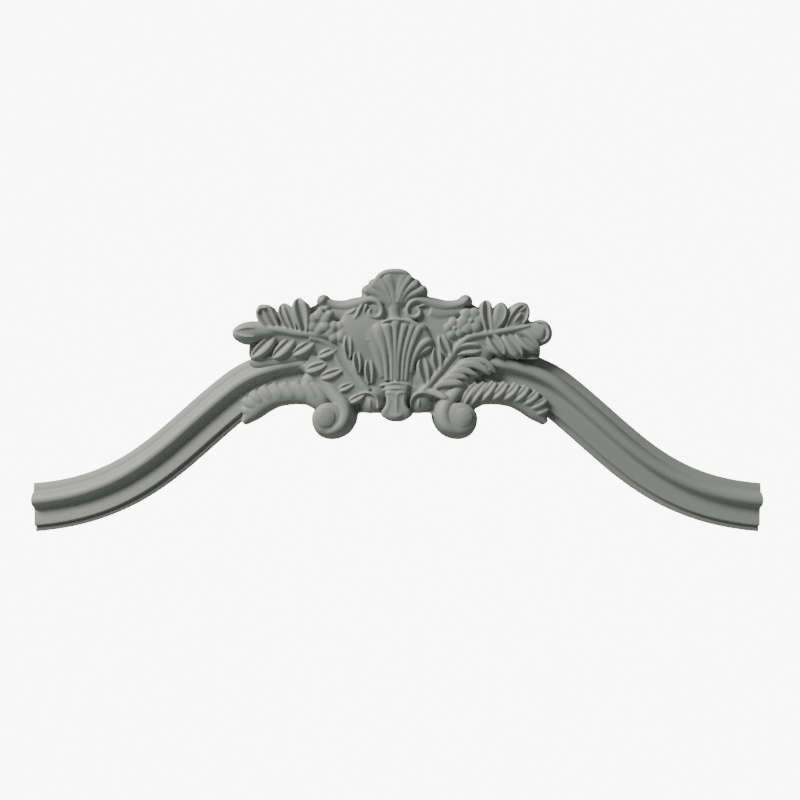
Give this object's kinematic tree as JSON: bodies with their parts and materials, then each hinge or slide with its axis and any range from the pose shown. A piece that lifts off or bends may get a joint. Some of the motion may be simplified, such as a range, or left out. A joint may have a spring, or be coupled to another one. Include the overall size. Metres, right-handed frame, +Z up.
{
  "type": "panel moulding",
  "caption": "Arched wall panel moulding: two swept rails meet under a relief crest of shells, scrolls, leafy sprigs and small flowers. Flat back, square-cut ends.",
  "frame": {"origin": "on the flat back, on the centre line, behind the foot of the tall shell", "axes": "+X to the right along the wall, +Y out of the flat back into the wall, +Z up the wall; the relief faces -Y"},
  "size_m": [0.9086, 0.037, 0.3253],
  "materials": {
    "primed_polyurethane": "grey factory primer, dull with a faint sheen"
  },
  "bodies": {
    "root": {"panel_moulding": "primed_polyurethane"}
  },
  "joints": []
}
